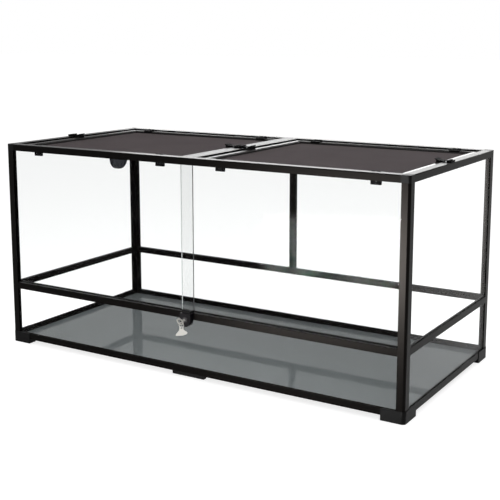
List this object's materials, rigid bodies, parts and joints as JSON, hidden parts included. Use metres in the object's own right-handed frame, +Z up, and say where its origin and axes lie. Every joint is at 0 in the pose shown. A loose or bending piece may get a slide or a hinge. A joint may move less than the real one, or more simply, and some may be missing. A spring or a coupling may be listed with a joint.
{
  "type": "reptile terrarium",
  "caption": "Glass terrarium with a black slotted frame, sliding front doors that lock, lift-off wire screen tops and a side cable port.",
  "frame": {"origin": "on the floor under the middle of the outline seen from above, the key included", "axes": "+X to the right along the front, +Y to the rear, +Z up; the doors and the lock face -Y"},
  "size_m": [1.223, 0.623, 0.5843],
  "materials": {
    "black_frame": "black satin coated extrusion",
    "clear_glass": "clear polished float glass",
    "black_mouldings": "black satin moulded plastic",
    "black_tracks": "black satin extruded plastic",
    "black_port": "black moulded plastic",
    "grey_base": "mid grey sheet",
    "lock_black": "black satin",
    "bright_steel": "bright nickel plate",
    "screen_frame_black": "black satin moulded plastic",
    "screen_net": "dark coated wire",
    "clip_black": "black moulded plastic"
  },
  "bodies": {
    "frame": {"base_rail_front": "black_frame", "base_rail_rear": "black_frame", "base_rail_left": "black_frame", "base_rail_right": "black_frame", "post_front_left": "black_frame", "post_front_right": "black_frame", "post_rear_left": "black_frame", "post_rear_right": "black_frame", "rear_centre_post": "black_frame", "mid_rail_front": "black_frame", "mid_rail_rear": "black_frame", "mid_rail_left": "black_frame", "mid_rail_right": "black_frame", "top_rail_front": "black_frame", "top_rail_rear": "black_frame", "top_rail_left": "black_frame", "top_rail_right": "black_frame", "top_crossbar": "black_frame", "top_corner_connectors": "black_mouldings", "base_panel": "grey_base", "front_glass_lower": "clear_glass", "rear_glass_lower": "clear_glass", "left_glass_lower": "clear_glass", "right_glass_lower": "clear_glass", "left_glass_upper": "clear_glass", "right_glass_upper": "clear_glass", "rear_glass_upper_left": "clear_glass", "rear_glass_upper_right": "clear_glass", "foot_front_left": "black_mouldings", "foot_front_right": "black_mouldings", "foot_rear_left": "black_mouldings", "foot_rear_right": "black_mouldings", "middle_feet": "black_mouldings", "lower_door_track": "black_tracks", "upper_door_track": "black_tracks", "door_jambs": "black_tracks", "cable_port_outer": "black_port", "cable_port_inner": "black_port", "lock_body": "lock_black", "latch_keepers": "clip_black"},
    "left_door": {"left_door": "clear_glass", "door_catch": "black_tracks"},
    "right_door": {"right_door": "clear_glass"},
    "left_screen": {"left_screen_frame": "screen_frame_black", "left_screen_net": "screen_net", "left_screen_clips": "clip_black"},
    "right_screen": {"right_screen_frame": "screen_frame_black", "right_screen_net": "screen_net", "right_screen_clips": "clip_black"},
    "left_outer_latch": {"left_latch_outer": "clip_black"},
    "left_inner_latch": {"left_latch_inner": "clip_black"},
    "right_inner_latch": {"right_latch_inner": "clip_black"},
    "right_outer_latch": {"right_latch_outer": "clip_black"},
    "port_shutter": {"cable_port_shutter": "black_port"},
    "lock_cylinder": {"lock_cylinder": "bright_steel", "lock_key": "bright_steel"},
    "lock_bolt": {"lock_bolt": "bright_steel"},
    "key_ring": {"key_ring": "bright_steel", "ring_tag": "bright_steel"}
  },
  "joints": [
    {"name": "left_door_slide", "type": "slide", "parent": "frame", "child": "left_door", "axis": [1, 0, 0], "range_m": [0, 0.55]},
    {"name": "right_door_slide", "type": "slide", "parent": "frame", "child": "right_door", "axis": [-1, 0, 0], "range_m": [0, 0.55]},
    {"name": "left_screen_lift", "type": "slide", "parent": "frame", "child": "left_screen", "axis": [0, 0, 1], "range_m": [0, 0.15]},
    {"name": "right_screen_lift", "type": "slide", "parent": "frame", "child": "right_screen", "axis": [0, 0, 1], "range_m": [0, 0.15]},
    {"name": "left_outer_latch_slide", "type": "slide", "parent": "left_screen", "child": "left_outer_latch", "axis": [-1, 0, 0], "range_m": [0, 0.006]},
    {"name": "left_inner_latch_slide", "type": "slide", "parent": "left_screen", "child": "left_inner_latch", "axis": [1, 0, 0], "range_m": [0, 0.006]},
    {"name": "right_inner_latch_slide", "type": "slide", "parent": "right_screen", "child": "right_inner_latch", "axis": [-1, 0, 0], "range_m": [0, 0.006]},
    {"name": "right_outer_latch_slide", "type": "slide", "parent": "right_screen", "child": "right_outer_latch", "axis": [1, 0, 0], "range_m": [0, 0.006]},
    {"name": "port_shutter_turn", "type": "hinge", "parent": "frame", "child": "port_shutter", "pos_m": [-0.597, 0.22, 0.486], "axis": [1, 0, 0], "range_deg": [0, 180]},
    {"name": "key_turn", "type": "hinge", "parent": "frame", "child": "lock_cylinder", "pos_m": [0.01, -0.275, 0.161], "axis": [0, -1, 0], "range_deg": [0, 90]},
    {"name": "bolt_lift", "type": "slide", "parent": "frame", "child": "lock_bolt", "axis": [0, 0, 1], "range_m": [0, 0.0045]},
    {"name": "key_ring_swing", "type": "hinge", "parent": "lock_cylinder", "child": "key_ring", "pos_m": [0.0124, -0.299, 0.1586], "axis": [0, -1, 0], "range_deg": [0, 30]}
  ],
  "couplings": [
    {"joint": "bolt_lift", "follows": "key_turn", "m_per_rad": 0.0028647}
  ]
}
